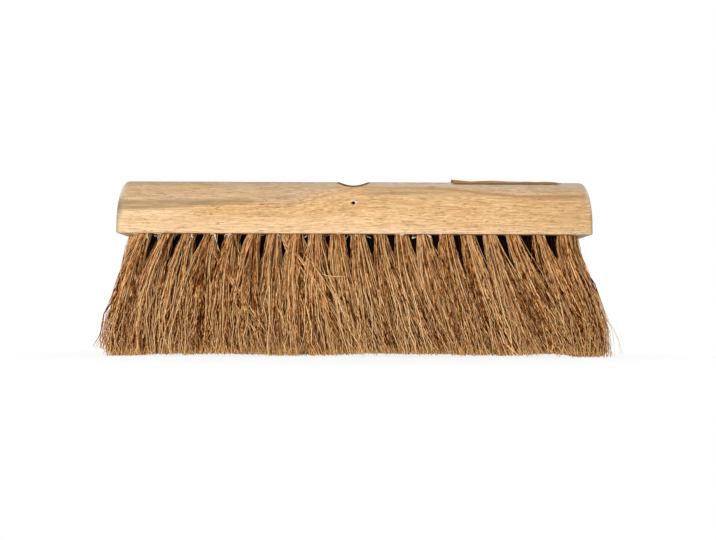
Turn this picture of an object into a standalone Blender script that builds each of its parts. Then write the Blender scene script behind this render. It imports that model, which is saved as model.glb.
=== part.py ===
"""Floor broom head: a domed hardwood stock drilled for a handle, five staggered rows of coir tufts in
drilled holes, and a blank paper label over the crest.

X runs along the stock, the handle socket leans towards the front at -Y, and +Z is up. The origin is
under the middle of the head, on the surface that the trimmed bristle tips stand on."""

import math

import bmesh
import bpy
from mathutils import Vector

MM = 0.001

# Stock: upright lower sides and a dome whose section is a superellipse
STOCK_LENGTH = 300 * MM
STOCK_WIDTH = 54 * MM
STOCK_HEIGHT = 36.5 * MM
SIDE_HEIGHT = 8 * MM
DOME_POWER = 1.85
DOME_STEPS = 20
END_ARRIS = 2.5 * MM
LOWER_ARRIS = 1.2 * MM
ARRIS_STEPS = 2
SMOOTH_ANGLE = math.radians(35)
TOLERANCE = 0.1 * MM

# Handle socket, leaning to the front, and the pilot hole for the nail that holds the handle. Both were
# drilled a little to the left of the middle.
SOCKET_X = -0.9 * MM
SOCKET_RADIUS = 10.1 * MM
SOCKET_TILT = math.radians(20)
SOCKET_FORWARD = 4.5 * MM
SOCKET_WALL = 2.5 * MM
SOCKET_SIDES = 24
PILOT_RADIUS = 0.95 * MM
PILOT_HEIGHT = 20 * MM
PILOT_REACH = 3 * MM
PILOT_SIDES = 8
CUTTER_EXCESS = 5 * MM

# Tuft holes: the second and fourth rows hold one tuft more and stand half a pitch out. They were drilled
# by eye, and from the middle to near the right end all of them stand to the left of an even spacing.
ROWS = 5
LONG_ROW_TUFTS = 21
HOLE_RADIUS = 4.4 * MM
HOLE_DEPTH = 11 * MM
END_MARGIN = 9.3 * MM
SIDE_MARGIN = 8 * MM
HOLE_DRIFT = 5.2 * MM
DRIFT_FROM = -95 * MM
DRIFT_FULL_FROM = 40 * MM
DRIFT_FULL_TO = 100 * MM
DRIFT_TO = 140 * MM
TUFT_CLEARANCE = 0.3 * MM
SLICE_HEIGHT = 2.5 * MM
TUFTS_PER_SLICE = 2

# Bristles, trimmed level
TRIM_LENGTH = 77 * MM
STRANDS_PER_TUFT = 3
END_LEAN = 15.2 * MM
SIDE_LEAN = 12.4 * MM
FAN_BEND = 1.5
FAN_STOPS = (0.42, 1.0)
OUTER_ROW_FAN_STOPS = (0.24, 0.56, 1.0)
STRAND_GAP = 1 * MM
STRAND_INNER = 1.6 * MM
STRAND_SIDE_SHARE = 0.72
STRAND_HALF_ANGLE = math.radians(46)

# Paper label, stuck down along its long edges and risen along the crest. Its end by the stock's end is
# cut aslant.
LABEL_END_MARGIN = 15.6 * MM
LABEL_LENGTH = 70.6 * MM
LABEL_SLANT = 20 * MM
LABEL_HALF_WIDTH = 11 * MM
LABEL_THICKNESS = 0.5 * MM
LABEL_GAP = 0.3 * MM
LABEL_END_LIFT = 1.2 * MM
LABEL_END_BEND = 7
LABEL_WAVE = 0.6 * MM
LABEL_WAVE_START = 0.2
LABEL_WAVE_END = 0.65
LABEL_STEPS = 20
LABEL_CROSS_STEPS = 8
SLOPE_STEP = 0.1 * MM

# Worked out from the sizes above
UNDERSIDE = TRIM_LENGTH
DOME_RISE = STOCK_HEIGHT - SIDE_HEIGHT
TUFT_PITCH = (STOCK_LENGTH - 2 * END_MARGIN) / (LONG_ROW_TUFTS - 1)
ROW_PITCH = (STOCK_WIDTH - 2 * SIDE_MARGIN) / (ROWS - 1)
OUTER_TUFT_X = TUFT_PITCH * (LONG_ROW_TUFTS - 1) / 2
OUTER_ROW_Y = ROW_PITCH * (ROWS - 1) / 2
EASE_STEEPEST = 1.5  # the greatest slope of ease(), over one that is straight
CLOSEST_PITCH = TUFT_PITCH * (1 - EASE_STEEPEST * HOLE_DRIFT / (DRIFT_FULL_FROM - DRIFT_FROM))
LABEL_START = STOCK_LENGTH / 2 - LABEL_END_MARGIN - LABEL_LENGTH

# A tuft's root has six sides, each named by the corner before it
HEXAGON = 6
LEFT_SIDE = 2
RIGHT_SIDE = 5


def clear_scene():
    for obj in list(bpy.data.objects):
        bpy.data.objects.remove(obj)


def make_material(name, colour, roughness):
    material = bpy.data.materials.new(name)
    material.use_nodes = True
    shader = material.node_tree.nodes["Principled BSDF"]
    shader.inputs["Base Color"].default_value = (*colour, 1)
    shader.inputs["Roughness"].default_value = roughness
    shader.inputs["Metallic"].default_value = 0
    material.diffuse_color = (*colour, 1)
    return material


def make_object(name, bm, material=None):
    """Turns the bmesh into an object, with its faces pointing out and its round sides shaded smooth."""
    bmesh.ops.recalc_face_normals(bm, faces=bm.faces)
    mesh = bpy.data.meshes.new(name)
    bm.to_mesh(mesh)
    bm.free()
    mesh.shade_smooth()
    mesh.set_sharp_from_angle(angle=SMOOTH_ANGLE)
    obj = bpy.data.objects.new(name, mesh)
    bpy.context.scene.collection.objects.link(obj)
    if material:
        mesh.materials.append(material)
    return obj


def make_cutter(name, bm):
    cutter = make_object(name, bm)
    cutter.hide_render = True
    cutter.display_type = "WIRE"
    return cutter


def cut(obj, cutter):
    boolean = obj.modifiers.new(cutter.name, "BOOLEAN")
    boolean.operation = "DIFFERENCE"
    boolean.solver = "EXACT"
    boolean.object = cutter


def dome_height(y):
    """Height of the dome above the underside, this far from the middle."""
    reach = min(abs(y) / (STOCK_WIDTH / 2), 1)
    return SIDE_HEIGHT + DOME_RISE * (1 - reach**DOME_POWER) ** (1 / DOME_POWER)


def stock_section():
    """The stock's outline as (y, height above the underside), from the front foot over the dome."""
    half = STOCK_WIDTH / 2
    points = [(-half, 0)]
    for step in range(DOME_STEPS + 1):
        angle = math.pi * step / DOME_STEPS
        across, up = math.cos(angle), abs(math.sin(angle))
        y = -math.copysign(half * abs(across) ** (2 / DOME_POWER), across)
        points.append((y, SIDE_HEIGHT + DOME_RISE * up ** (2 / DOME_POWER)))
    points.append((half, 0))
    return points


def make_stock(material):
    bm = bmesh.new()
    weight = bm.edges.layers.float.new("bevel_weight_edge")
    corners = [bm.verts.new((-STOCK_LENGTH / 2, y, UNDERSIDE + z)) for y, z in stock_section()]
    end = bm.faces.new(corners)
    moved = bmesh.ops.extrude_face_region(bm, geom=[end], use_keep_orig=True)
    for vert in moved["geom"]:
        if isinstance(vert, bmesh.types.BMVert):
            vert.co.x = STOCK_LENGTH / 2
    for edge in bm.edges:
        first, second = (vert.co for vert in edge.verts)
        if abs(first.x - second.x) < TOLERANCE:
            edge[weight] = 1
        elif max(first.z, second.z) < UNDERSIDE + TOLERANCE:
            edge[weight] = LOWER_ARRIS / END_ARRIS
    stock = make_object("stock", bm, material)
    bevel = stock.modifiers.new("arrises", "BEVEL")
    bevel.limit_method = "WEIGHT"
    bevel.width = END_ARRIS
    bevel.segments = ARRIS_STEPS
    return stock


def rod(name, start, end, radius, sides):
    """A cutter with flat ends, running from one point to another."""
    axis = end - start
    bm = bmesh.new()
    bmesh.ops.create_cone(
        bm, cap_ends=True, segments=sides, radius1=radius, radius2=radius, depth=axis.length
    )
    cutter = make_cutter(name, bm)
    cutter.location = (start + end) / 2
    cutter.rotation_mode = "QUATERNION"
    cutter.rotation_quaternion = axis.to_track_quat("Z", "X")
    return cutter


def socket_axis():
    """The middle of the socket's floor, the middle of its mouth, and the way out."""
    out = Vector((0, -math.sin(SOCKET_TILT), math.cos(SOCKET_TILT)))
    mouth = Vector((SOCKET_X, -SOCKET_FORWARD, UNDERSIDE + dome_height(SOCKET_FORWARD)))
    floor_height = UNDERSIDE + HOLE_DEPTH + SOCKET_WALL + SOCKET_RADIUS * math.sin(SOCKET_TILT)
    floor = mouth - out * (mouth.z - floor_height) / out.z
    return floor, mouth, out


def cut_socket(stock):
    floor, mouth, out = socket_axis()
    beyond = mouth + out * (SOCKET_RADIUS + CUTTER_EXCESS)
    cut(stock, rod("socket_cutter", floor, beyond, SOCKET_RADIUS, SOCKET_SIDES))
    height = UNDERSIDE + PILOT_HEIGHT
    socket_middle = mouth + out * (height - mouth.z) / out.z
    front_wall = socket_middle.y - SOCKET_RADIUS / out.z
    start = Vector((SOCKET_X, -STOCK_WIDTH / 2 - CUTTER_EXCESS, height))
    end = Vector((SOCKET_X, front_wall + PILOT_REACH, height))
    cut(stock, rod("pilot_cutter", start, end, PILOT_RADIUS, PILOT_SIDES))


def ease(value, low, high):
    """0 below low, 1 above high, smooth between."""
    share = min(1, max(0, (value - low) / (high - low)))
    return share**2 * (3 - 2 * share)


def drifted(x):
    """Where a hole was drilled whose place in an even spacing is x."""
    onset = ease(x, DRIFT_FROM, DRIFT_FULL_FROM)
    return x - HOLE_DRIFT * onset * (1 - ease(x, DRIFT_FULL_TO, DRIFT_TO))


def tuft_slices():
    """Each slice's row, its number in the row, and its tufts as (x, y, column)."""
    for row in range(ROWS):
        count = LONG_ROW_TUFTS - 1 + row % 2
        y = row * ROW_PITCH - OUTER_ROW_Y
        places = [(column - (count - 1) / 2) * TUFT_PITCH for column in range(count)]
        tufts = [(drifted(place), y, column) for column, place in enumerate(places)]
        slices = [tufts[i : i + TUFTS_PER_SLICE] for i in range(0, count, TUFTS_PER_SLICE)]
        if len(slices[-1]) < TUFTS_PER_SLICE:
            slices[-2:] = [slices[-2] + slices[-1]]
        for number, slice_tufts in enumerate(slices, 1):
            yield row, number, slice_tufts


def corner_angle(corner):
    """The direction of a hexagon's corner, with a flat side towards each neighbour in its row."""
    return math.tau * (corner + 0.5) / HEXAGON


def ring(bm, x, y, z, radius):
    verts = []
    for corner in range(HEXAGON):
        angle = corner_angle(corner)
        verts.append(bm.verts.new((x + radius * math.cos(angle), y + radius * math.sin(angle), z)))
    return verts


def wall(bm, low, high, corner):
    after = (corner + 1) % HEXAGON
    bm.faces.new((low[corner], low[after], high[after], high[corner]))


def root_block(bm, tufts, radius, low, slice_top, top):
    """Tuft roots side by side, each a hexagon from low to top, linked by the slice between them up to
    slice_top. Their lower ends stay open, and the rings round those are returned."""
    rings = [[ring(bm, x, y, z, radius) for z in (low, slice_top, top)] for x, y, _ in tufts]
    last = len(rings) - 1
    for i, (bottom, middle, upper) in enumerate(rings):
        joined = ({RIGHT_SIDE} if i < last else set()) | ({LEFT_SIDE} if i > 0 else set())
        for corner in range(HEXAGON):
            if corner not in joined:
                wall(bm, bottom, middle, corner)
            wall(bm, middle, upper, corner)
        bm.faces.new(upper)
    front, back = (RIGHT_SIDE, LEFT_SIDE + 1), (0, LEFT_SIDE)
    for (bottom, middle, _), (next_bottom, next_middle, _) in zip(rings, rings[1:]):
        for ring_before, ring_after in ((bottom, next_bottom), (middle, next_middle)):
            corners = [(ring_before[before], ring_after[after]) for before, after in (front, back)]
            bm.faces.new((*corners[0], *reversed(corners[1])))
        for before, after in (front, back):
            bm.faces.new((bottom[before], next_bottom[after], next_middle[after], middle[before]))
    return [bottom for bottom, _, _ in rings]


def cut_tuft_holes(stock):
    """One hole for each tuft, and a shallow bed for each slice between them."""
    bm = bmesh.new()
    slice_top = UNDERSIDE + SLICE_HEIGHT + TUFT_CLEARANCE
    for _, _, tufts in tuft_slices():
        low = UNDERSIDE - CUTTER_EXCESS
        for bottom in root_block(bm, tufts, HOLE_RADIUS, low, slice_top, UNDERSIDE + HOLE_DEPTH):
            bm.faces.new(bottom)
    cut(stock, make_cutter("tuft_hole_cutter", bm))


def fan_out(x, y, lean):
    """Where the middle of a tuft rooted at (x, y) has come once it has this share of its lean."""
    return x * (1 + END_LEAN / OUTER_TUFT_X * lean), y * (1 + SIDE_LEAN / OUTER_ROW_Y * lean)


def strand_corners(tuft, direction, down):
    """A strand's four corners, this share of the way down, on its own side of the tuft's middle."""
    x, y, _ = tuft
    root_radius = HOLE_RADIUS - TUFT_CLEARANCE
    tip_pitch = fan_out(CLOSEST_PITCH, 0, 1)[0]
    tip_radius = (tip_pitch - STRAND_GAP) / 2
    lean = 1 - (1 - down) ** FAN_BEND
    x, y = fan_out(x, y, lean)
    outer = root_radius + (tip_radius - root_radius) * lean
    side = root_radius + (tip_radius * STRAND_SIDE_SHARE - root_radius) * lean
    root_angle = math.pi / STRANDS_PER_TUFT
    turn = root_angle + (STRAND_HALF_ANGLE - root_angle) * lean
    polar = (
        (STRAND_INNER * lean, 0),
        (side, -turn),
        (outer, 0),
        (side, turn),
    )
    z = UNDERSIDE - TRIM_LENGTH * down
    return [
        (x + radius * math.cos(direction + angle), y + radius * math.sin(direction + angle), z)
        for radius, angle in polar
    ]


def add_strands(bm, bottom, tuft, flipped, stops):
    """Splits a root's lower end into strands that share it and draw apart as they fan out, with a
    bend at each stop on the way to the trimmed tips."""
    x, y, _ = tuft
    middle = bm.verts.new((x, y, UNDERSIDE))
    share = HEXAGON // STRANDS_PER_TUFT
    for strand in range(STRANDS_PER_TUFT):
        first = strand * share + flipped
        above = [middle] + [bottom[(first + i) % HEXAGON] for i in range(share + 1)]
        direction = corner_angle(first + share / 2)
        for down in stops:
            below = [bm.verts.new(corner) for corner in strand_corners(tuft, direction, down)]
            for i in range(len(above)):
                after = (i + 1) % len(above)
                bm.faces.new((above[i], above[after], below[after], below[i]))
            above = below
        bm.faces.new(above)


def make_tufts(material):
    radius = HOLE_RADIUS - TUFT_CLEARANCE
    top = UNDERSIDE + HOLE_DEPTH - TUFT_CLEARANCE
    for row, number, tufts in tuft_slices():
        bm = bmesh.new()
        bottoms = root_block(bm, tufts, radius, UNDERSIDE, UNDERSIDE + SLICE_HEIGHT, top)
        behind_middle = row > ROWS // 2
        stops = OUTER_ROW_FAN_STOPS if row in (0, ROWS - 1) else FAN_STOPS
        for bottom, tuft in zip(bottoms, tufts):
            add_strands(bm, bottom, tuft, (tuft[2] + behind_middle) % 2, stops)
        make_object(f"coir_tufts_row{row + 1}_{number:02d}", bm, material)


def label_point(along, across, height):
    """A point over the dome: along runs 0 to 1 from the label's lifted end, across -1 to 1 from its
    front edge, and height is measured square to the wood."""
    y = across * LABEL_HALF_WIDTH
    slope = (dome_height(y + SLOPE_STEP) - dome_height(y - SLOPE_STEP)) / (2 * SLOPE_STEP)
    up = Vector((0, -slope, 1)).normalized()
    x = LABEL_START + along * (LABEL_LENGTH - LABEL_SLANT * (across + 1) / 2)
    on_wave = (along - LABEL_WAVE_START) / (LABEL_WAVE_END - LABEL_WAVE_START)
    wave = math.sin(math.pi * min(1, max(0, on_wave))) ** 2
    lift = LABEL_END_LIFT * (1 - along) ** LABEL_END_BEND + LABEL_WAVE * wave
    lift *= 1 - across**2
    base = Vector((x, y, UNDERSIDE + dome_height(y)))
    return base + up * (LABEL_GAP + lift + height)


def make_label(material):
    bm = bmesh.new()
    sheets = []
    for height in (0, LABEL_THICKNESS):
        sheets.append(
            [
                [
                    bm.verts.new(label_point(i / LABEL_STEPS, 2 * j / LABEL_CROSS_STEPS - 1, height))
                    for j in range(LABEL_CROSS_STEPS + 1)
                ]
                for i in range(LABEL_STEPS + 1)
            ]
        )
    for sheet in sheets:
        for line, after in zip(sheet, sheet[1:]):
            for j in range(LABEL_CROSS_STEPS):
                bm.faces.new((line[j], line[j + 1], after[j + 1], after[j]))
    borders = []
    for sheet in sheets:
        front = [line[0] for line in sheet]
        back = [line[-1] for line in reversed(sheet)]
        borders.append(front + sheet[-1][1:-1] + back + sheet[0][-2:0:-1])
    under, over = borders
    for i in range(len(under)):
        after = (i + 1) % len(under)
        bm.faces.new((under[i], under[after], over[after], over[i]))
    make_object("label", bm, material)


def main():
    clear_scene()
    wood = make_material("pale hardwood", (0.76, 0.51, 0.27), 0.55)
    coir = make_material("coconut fibre", (0.34, 0.16, 0.06), 0.8)
    paper = make_material("brown paper", (0.3, 0.17, 0.08), 0.85)
    stock = make_stock(wood)
    cut_socket(stock)
    cut_tuft_holes(stock)
    make_tufts(coir)
    make_label(paper)


main()
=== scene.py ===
import math
import random

import bmesh
import bpy
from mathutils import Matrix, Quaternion, Vector, noise


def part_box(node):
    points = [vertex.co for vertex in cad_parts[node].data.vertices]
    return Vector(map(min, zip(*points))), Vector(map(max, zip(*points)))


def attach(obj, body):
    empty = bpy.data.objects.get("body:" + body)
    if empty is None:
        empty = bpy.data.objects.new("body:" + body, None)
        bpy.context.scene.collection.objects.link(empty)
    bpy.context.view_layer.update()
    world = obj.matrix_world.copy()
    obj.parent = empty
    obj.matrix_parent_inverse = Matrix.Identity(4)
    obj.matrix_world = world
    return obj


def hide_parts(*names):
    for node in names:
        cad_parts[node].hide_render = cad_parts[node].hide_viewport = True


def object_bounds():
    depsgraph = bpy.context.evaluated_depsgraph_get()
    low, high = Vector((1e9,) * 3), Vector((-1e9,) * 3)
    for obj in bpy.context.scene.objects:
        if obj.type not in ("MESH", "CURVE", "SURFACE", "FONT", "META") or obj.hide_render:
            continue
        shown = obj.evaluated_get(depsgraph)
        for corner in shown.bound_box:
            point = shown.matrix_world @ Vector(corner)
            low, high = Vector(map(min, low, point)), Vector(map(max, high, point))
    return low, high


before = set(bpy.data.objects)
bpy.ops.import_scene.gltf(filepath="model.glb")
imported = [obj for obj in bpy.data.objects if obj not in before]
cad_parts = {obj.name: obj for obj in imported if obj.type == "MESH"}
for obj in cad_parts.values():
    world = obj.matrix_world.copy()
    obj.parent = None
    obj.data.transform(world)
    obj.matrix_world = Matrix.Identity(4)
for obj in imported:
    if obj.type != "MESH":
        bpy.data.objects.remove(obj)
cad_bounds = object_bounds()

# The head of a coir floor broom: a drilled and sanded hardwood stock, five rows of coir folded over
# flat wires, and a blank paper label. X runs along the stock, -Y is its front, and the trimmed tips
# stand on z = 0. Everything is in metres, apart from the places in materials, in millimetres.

MM = 0.001

# The stock as the frame gives it, with the dome's section and the arrises
stock_low, stock_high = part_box("stock")
STOCK_LENGTH = stock_high.x - stock_low.x
STOCK_WIDTH = stock_high.y - stock_low.y
STOCK_HEIGHT = stock_high.z - stock_low.z
UNDERSIDE = stock_low.z
SIDE_HEIGHT = 8 * MM
DOME_RISE = STOCK_HEIGHT - SIDE_HEIGHT
DOME_POWER = 1.85
DOME_STEPS = 64
LENGTH_STEPS = 48
SANDING_WAVE = 0.12 * MM
SANDING_LENGTH, SANDING_BREADTH = 45 * MM, 16 * MM
END_ARRIS = 2.8 * MM
FOOT_ARRIS = 0.6 * MM
LOWER_ARRIS = 0.6 * MM
ARRIS_STEPS = 5
SMOOTH_ANGLE = math.radians(32)

# In millimetres: where the dark growth ring lies, and the pin knots and short dark streaks in the front
# as (x, height, half their height, how many times as long as high, how dark)
HEART_RING = 78.2
MARKS = (
    (-46, 23.2, 1.5, 12, 0.26),
    (-90.5, 12.2, 0.7, 1.7, 0.75),
    (-86, 6, 0.6, 1.7, 0.75),
    (-58, 8.5, 0.4, 1.7, 0.75),
    (-21, 14.8, 0.4, 1.7, 0.75),
    (-66, 20.2, 0.45, 6, 0.8),
    (24, 26.6, 0.8, 17, 0.4),
    (-44, 22.2, 0.4, 12, 0.35),
)

# Handle socket, leaning to the front, with a broken edge round its floor, and the pilot hole with its
# chipped mouth
SOCKET_X = -0.9 * MM
SOCKET_RADIUS = 10.1 * MM
SOCKET_TILT = math.radians(20)
SOCKET_FORWARD = 4.5 * MM
SOCKET_WALL = 2.5 * MM
SOCKET_BREAK = 0.5 * MM
SOCKET_SIDES = 72
PILOT_RADIUS = 0.95 * MM
PILOT_HEIGHT = 20 * MM
PILOT_DEPTH = 9 * MM
PILOT_CHIP = 0.5 * MM
PILOT_SIDES = 20
CUTTER_EXCESS = 5 * MM

# Tuft holes: the second and fourth rows hold one tuft more and stand half a pitch out. From left of the
# middle to near the right end all of them drift to the left of an even spacing.
ROWS = 5
LONG_ROW_TUFTS = 21
HOLE_RADIUS = 4.4 * MM
HOLE_DEPTH = 11 * MM
HOLE_FLARE = 0.25 * MM
HOLE_POINT = 1.2 * MM
HOLE_POINT_RADIUS = 0.4 * MM
HOLE_SIDES = 28
END_MARGIN = 9.3 * MM
SIDE_MARGIN = 8 * MM
TUFT_PITCH = (STOCK_LENGTH - 2 * END_MARGIN) / (LONG_ROW_TUFTS - 1)
ROW_PITCH = (STOCK_WIDTH - 2 * SIDE_MARGIN) / (ROWS - 1)
OUTER_TUFT_X = TUFT_PITCH * (LONG_ROW_TUFTS - 1) / 2
OUTER_ROW_Y = ROW_PITCH * (ROWS - 1) / 2
HOLE_DRIFT = 5.2 * MM
DRIFT_FROM = -95 * MM
DRIFT_FULL_FROM = 40 * MM
DRIFT_FULL_TO = 100 * MM
DRIFT_TO = 140 * MM
TUFTS_ON_LEFT = 10
NODES_IN_ROW = 10

# Coir: hairpins over the wires, gathered in strings and locks. The tips fan out by a share of their
# tuft's place and are pushed to the right. The outer tufts are squeezed back, those at the right bulge
# on their way down, and those right of the middle are eased to the left. A few fibres stray, a few are
# curly and a few locks are wild. All swing from side to side, and none stands further past the solids
# than PROUD, along x and y. The left corner is trimmed higher than the rest.
HAIRPINS = 128
FIRST_SEED = 12
RINGS = 23
FIBRE_SIDES = 3
FIBRE_RADIUS = 0.34 * MM
FOLD_HEIGHT = UNDERSIDE + 8.6 * MM
LOCKS = 19
STRINGS = 3
LOCK_RADIUS = 1.2 * MM
FAN = 0.225
FAN_PUSH = 14.5 * MM
LEFT_SQUEEZE = 18 * MM
RIGHT_SQUEEZE = 39 * MM
RIGHT_BULGE = 7 * MM
RIGHT_EASE = 12 * MM
SIDE_LEAN = 11 * MM
FAN_BEND = 1.2
PUSH_BEND = 1.4
SPREAD_BEND = 2
BULGE_SCALE = 27 / 4
STRAYS = 0.05
CURLY_ONES = 0.02
WILD_LOCKS = 0.06
TUFT_SWING = (4.5 * MM, 1.5 * MM)
LOCK_SWING = 5 * MM
STRING_SWING = 3.5 * MM
TIP_SWING = 8 * MM
SHORTEST_BY = 10 * MM
UNEVEN_TRIM = 1 * MM
TRIM_WAVE = 1.5 * MM
TRIM_WAVE_LENGTH = 34 * MM
RAISED_CORNER = 4.5 * MM
PROUD = (7 * MM, 5.5 * MM)
GOLDEN_ANGLE = math.radians(137.508)

# In millimetres, fibres that lie across the front: the x where each leaves its tuft, two places on its
# way as (x, z), how many lie together, how far apart, and how light they are. The two places stand this
# far in front of the middle.
CROSSING = (
    (-91, (-77.5, 50), (-55, 14), 9, 3.6, 0.5),
    (-42, (-30.9, 58.9), (0.3, 9), 12, 4, 0.5),
    (-28, (-20.3, 49.9), (-5.9, 49.4), 1, 0.1, 0.9),
    (70, (82.8, 35.6), (105.9, 15), 1, 0.1, 1.2),
)
CROSSING_FORWARD = (29.5, 37.5)
CROSSING_STEPS = 5

# Slivers of wood that stand up round the mouths of the holes, and how every swept strip faces and how
# much of it is gone at its end
SLIVERS_AT_MOST = 4
SLIVER_STEPS = 9
SLIVER_THICKNESS = 0.15 * MM
STRIP_FACING = Vector((0, 1, 0.2))
STRIP_TAPER = 0.6

# Paper label over the crest, its left end lifted and its right one slanted
LABEL_END_MARGIN = 15.6 * MM
LABEL_LENGTH = 70.6 * MM
LABEL_START = STOCK_LENGTH / 2 - LABEL_END_MARGIN - LABEL_LENGTH
LABEL_SLANT = 20 * MM
LABEL_HALF_WIDTH = 10.5 * MM
LABEL_GAP = 0.3 * MM
LABEL_THICKNESS = 0.3 * MM
LABEL_END_LIFT = 1.2 * MM
LABEL_END_BEND = 7
LABEL_WAVE = 0.6 * MM
LABEL_WAVE_START = 0.2
LABEL_WAVE_END = 0.65
LABEL_CREASE = 0.22 * MM
LABEL_EDGE_CURL = 0.45 * MM
LABEL_BROWNED_EDGE = 1.2 * MM
LABEL_STEPS = 150
LABEL_CROSS_STEPS = 44
LABEL_SMOOTH_ANGLE = math.radians(50)

# Flat wire anchors, driven across the holes with their ends in the wood
WIRE_LENGTH = 9.4 * MM
WIRE_HEIGHT = 1.7 * MM
WIRE_THICKNESS = 0.35 * MM
WIRE_BOTTOM = UNDERSIDE + 6.6 * MM
WIRE_INSET = 0.12

# Camera: in front of the stock's middle and a little above the trimmed tips. The photograph's vanishing
# point lies left of and below the middle of its frame.
PHOTO_WIDTH, PHOTO_HEIGHT = 716, 540
VANISHING_POINT = (354.5, 314.5)
FOCAL_PIXELS = 893.5
SENSOR_WIDTH = 36
CAMERA_DISTANCE = 587 * MM
CAMERA_HEIGHT = 26.2 * MM
CAMERA_ROLL = math.radians(0.2)


def operator(operation):
    """A method for an operator that adds a Math node, and the one for its reflected form."""

    def forward(self, value):
        return self.nodes.math(operation, self, value)

    def reflected(self, value):
        return self.nodes.math(operation, value, self)

    return forward, reflected


class Socket:
    """A node's output. Arithmetic on it adds Math nodes."""

    __add__, __radd__ = operator("ADD")
    __sub__, __rsub__ = operator("SUBTRACT")
    __mul__, __rmul__ = operator("MULTIPLY")
    __truediv__, __rtruediv__ = operator("DIVIDE")
    __pow__, __rpow__ = operator("POWER")

    def __init__(self, nodes, socket):
        self.nodes, self.socket = nodes, socket

    def __abs__(self):
        return self.nodes.math("ABSOLUTE", self)

    def other(self, name):
        """Another output of the same node."""
        return Socket(self.nodes, self.socket.node.outputs[name])


class Nodes:
    """A node tree, and the few ways in which nodes are added to it."""

    def __init__(self, tree):
        self.tree = tree

    def add(self, kind, settings=None, values=(), output=0):
        """Adds a node, sets its settings, then its sockets from a list or by name."""
        node = self.tree.nodes.new(kind)
        for name, value in (settings or {}).items():
            if name == "stops":
                set_stops(node.color_ramp, value)
            else:
                setattr(node, name, value)
        for name, value in values.items() if isinstance(values, dict) else enumerate(values):
            if isinstance(value, Socket):
                self.tree.links.new(value.socket, node.inputs[name])
            elif value is not None:
                node.inputs[name].default_value = value
        return Socket(self, node.outputs[output]) if node.outputs else None

    def math(self, operation, *values):
        return self.add("ShaderNodeMath", {"operation": operation}, values)

    def join(self, x, y, z=0.0):
        return self.add("ShaderNodeCombineXYZ", None, (x, y, z))

    def split(self, vector):
        x = self.add("ShaderNodeSeparateXYZ", None, (vector,))
        return x, x.other("Y"), x.other("Z")

    def clamp(self, value):
        return self.add("ShaderNodeClamp", None, (value,))

    def rise(self, value, low, high):
        """0 below low, 1 above high, smooth between. It falls where low is the higher of the two."""
        smooth = {"interpolation_type": "SMOOTHSTEP"}
        return self.add("ShaderNodeMapRange", smooth, (value, low, high))

    def bell(self, value, width):
        """1 where value is 0, fading out over about twice the width on both sides."""
        return self.math("EXPONENT", (value / width) ** 2 * -1)

    def distance(self, across, up):
        """How far a place is from where both of its coordinates are 0."""
        return (across * across + up * up) ** 0.5

    def noise(self, place, detail=2.0, roughness=0.5):
        """Noise at a place given by two or three coordinates."""
        values = {"Vector": self.join(*place), "Scale": 1.0}
        values |= {"Detail": detail, "Roughness": roughness}
        return self.add("ShaderNodeTexNoise", None, values)


def set_stops(ramp, stops):
    """Each stop is a place from 0 to 1 and a colour as it looks on a screen."""
    while len(ramp.elements) < len(stops):
        ramp.elements.new(1)
    for element, (place, *colour) in zip(ramp.elements, stops):
        element.position = place
        element.color = paint(*colour)


def paint(red, green, blue):
    """A colour given as it looks on a screen, 0 to 255, as Blender's linear colour."""
    linear = []
    for value in (red / 255, green / 255, blue / 255):
        linear.append(value / 12.92 if value <= 0.04045 else ((value + 0.055) / 1.055) ** 2.4)
    return (*linear, 1)


class Finish(Nodes):
    """A material whose colour is laid on in layers. Its places are in millimetres."""

    def __init__(self, name, **constants):
        """What is the same all over is set on the shader."""
        self.material = bpy.data.materials.new(name)
        self.material.use_nodes = True
        super().__init__(self.material.node_tree)
        self.shader = self.tree.nodes["Principled BSDF"]
        for socket, value in constants.items():
            self.shader.inputs[socket.replace("_", " ")].default_value = value

    def place(self):
        """Where a point is in the object."""
        place = self.split(self.add("ShaderNodeTexCoord", output="Object"))
        return [part / MM for part in place]

    def stored(self, name):
        """A value that the mesh carries."""
        return self.add("ShaderNodeAttribute", {"attribute_name": name}, output="Fac")

    def start(self, value, *stops):
        """The first colour, from a ramp with stops of (place, red, green, blue)."""
        self.colour = self.add("ShaderNodeValToRGB", {"stops": stops}, (value,))

    def lay(self, share, *colour, blend="MIX"):
        """Covers this share of the colour below with another one."""
        settings = {"data_type": "RGBA", "blend_type": blend}
        values = {0: share, 6: self.colour, 7: paint(*colour)}
        self.colour = self.add("ShaderNodeMix", settings, values, output=2)

    def dye(self, share, *colour):
        """Darkens the colour below, as a dye that lets it show through."""
        self.lay(share, *colour, blend="MULTIPLY")

    def bump(self, height, distance, strength=1.0):
        values = {"Strength": strength, "Distance": distance, "Height": height}
        return self.add("ShaderNodeBump", None, values)

    def finish(self, roughness, normal=None):
        given = {"Base Color": self.colour, "Roughness": roughness, "Normal": normal}
        for name, value in given.items():
            if value:
                self.tree.links.new(value.socket, self.shader.inputs[name])


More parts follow.
